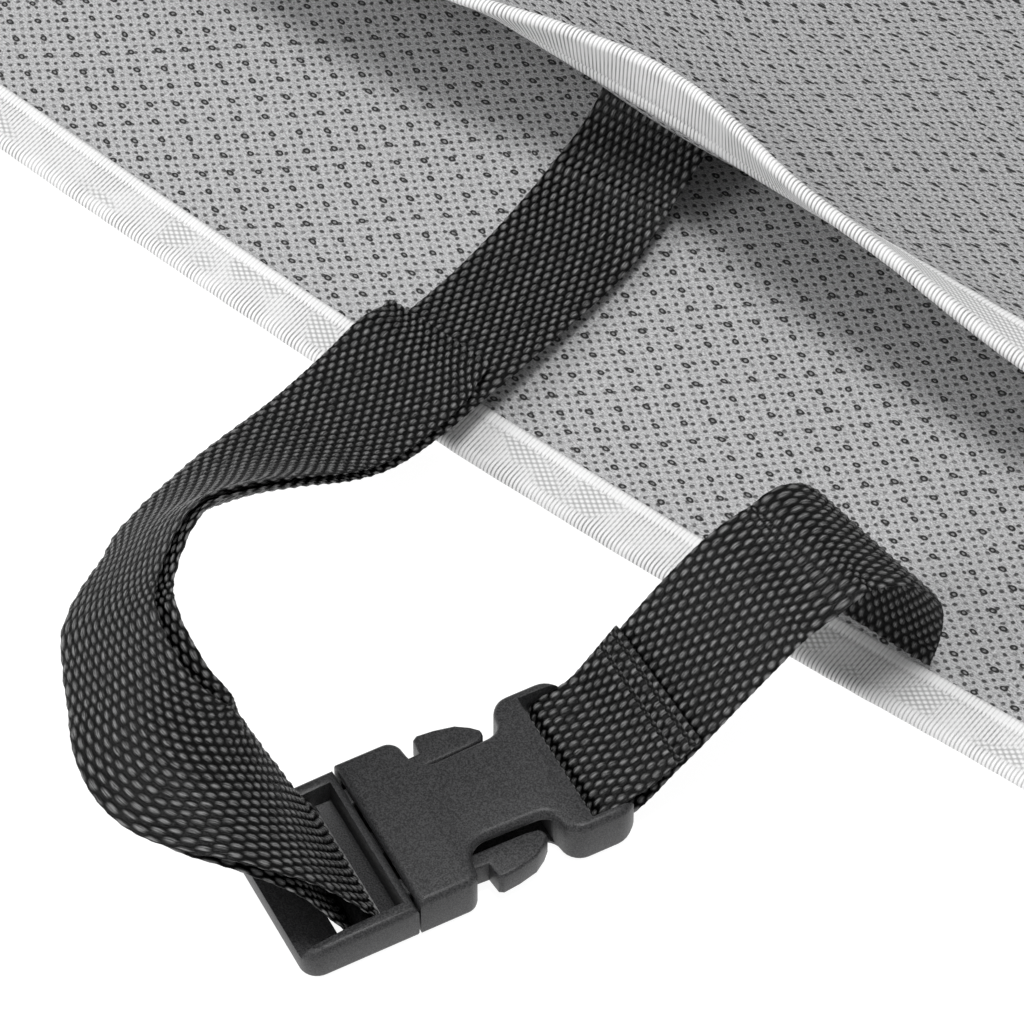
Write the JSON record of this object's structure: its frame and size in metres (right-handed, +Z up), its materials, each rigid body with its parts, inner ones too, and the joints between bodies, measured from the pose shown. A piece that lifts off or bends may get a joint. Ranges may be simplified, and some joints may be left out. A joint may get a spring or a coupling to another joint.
{
  "type": "caravan drawbar cover",
  "caption": "Grey nonwoven drawbar cover lying on its side, hems bound in white ribbed tape, with an adjustable webbing strap and a side release buckle.",
  "frame": {"origin": "centre of the base of the bounding box", "axes": "+X along the hem towards the nose, +Y from the hem towards the ridge, +Z up from the floor"},
  "size_m": [0.82, 0.5504, 0.0521],
  "materials": {
    "cloth": "matte",
    "tape": "matte",
    "webbing": "satin",
    "moulding": "matte"
  },
  "bodies": {
    "root": {"panel_lower": "cloth", "panel_upper": "cloth", "binding_hem_lower": "tape", "binding_hem_upper": "tape", "strap_long": "webbing", "strap_short": "webbing", "buckle_socket": "moulding", "buckle_plug": "moulding"}
  },
  "joints": []
}
